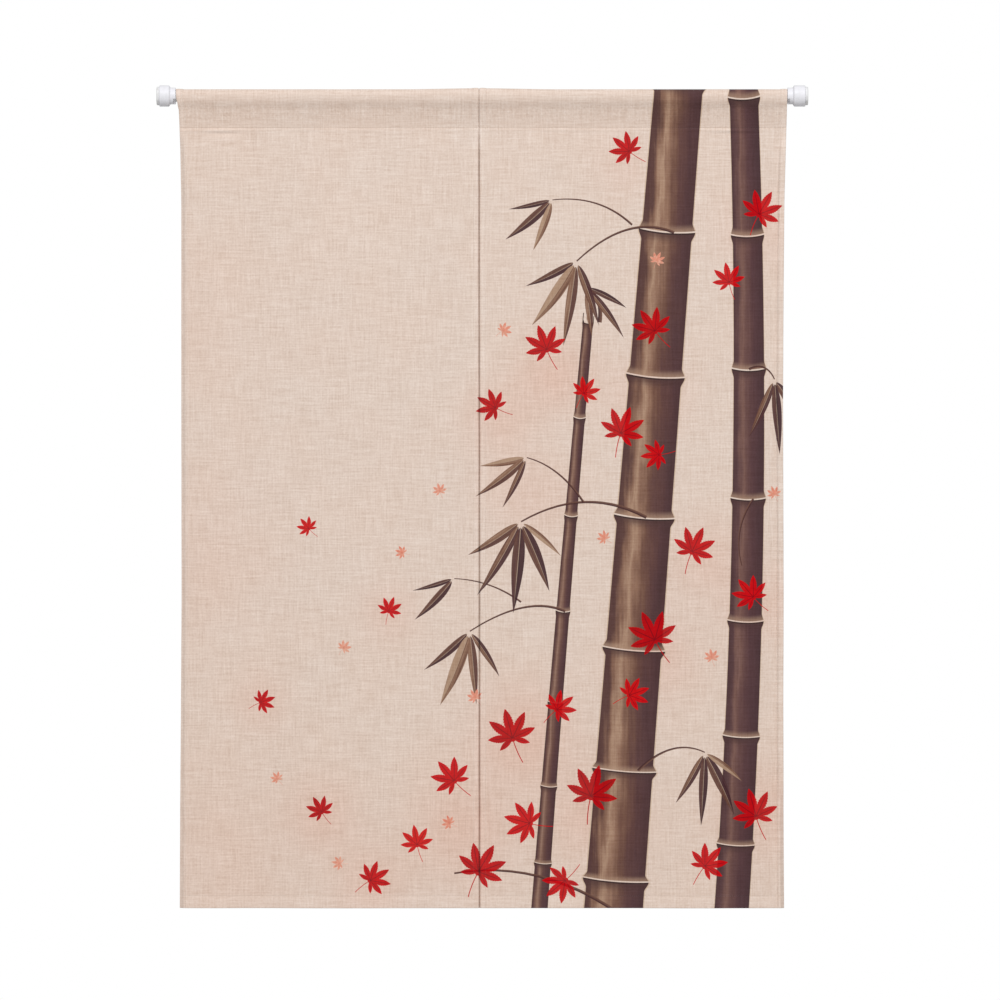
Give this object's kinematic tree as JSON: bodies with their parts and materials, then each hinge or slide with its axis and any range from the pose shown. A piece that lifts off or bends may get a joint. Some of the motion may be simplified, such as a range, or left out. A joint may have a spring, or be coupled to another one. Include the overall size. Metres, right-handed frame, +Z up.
{
  "type": "noren curtain on a tension rod",
  "caption": "Slit doorway curtain of printed slubbed cloth, hung by its sewn rod pocket on a plain tension rod with capped, padded ends.",
  "frame": {"origin": "centre of the left end pad's outer face, on the rod's axis", "axes": "+Z up, +X along the rod to the right end as seen from the front, +Y towards the back; the printed front faces -Y"},
  "size_m": [0.915, 0.0298, 1.156],
  "materials": {
    "cloth": "matte slubbed plain weave, printed on the front",
    "rod": "semi-gloss white",
    "cap_plastic": "satin white moulding",
    "pad_rubber": "soft matte grey-white"
  },
  "bodies": {
    "root": {"panel_left": "cloth", "panel_right": "cloth", "rod": "rod", "end_cap_left": "cap_plastic", "end_cap_right": "cap_plastic", "end_pad_left": "pad_rubber", "end_pad_right": "pad_rubber"}
  },
  "joints": []
}
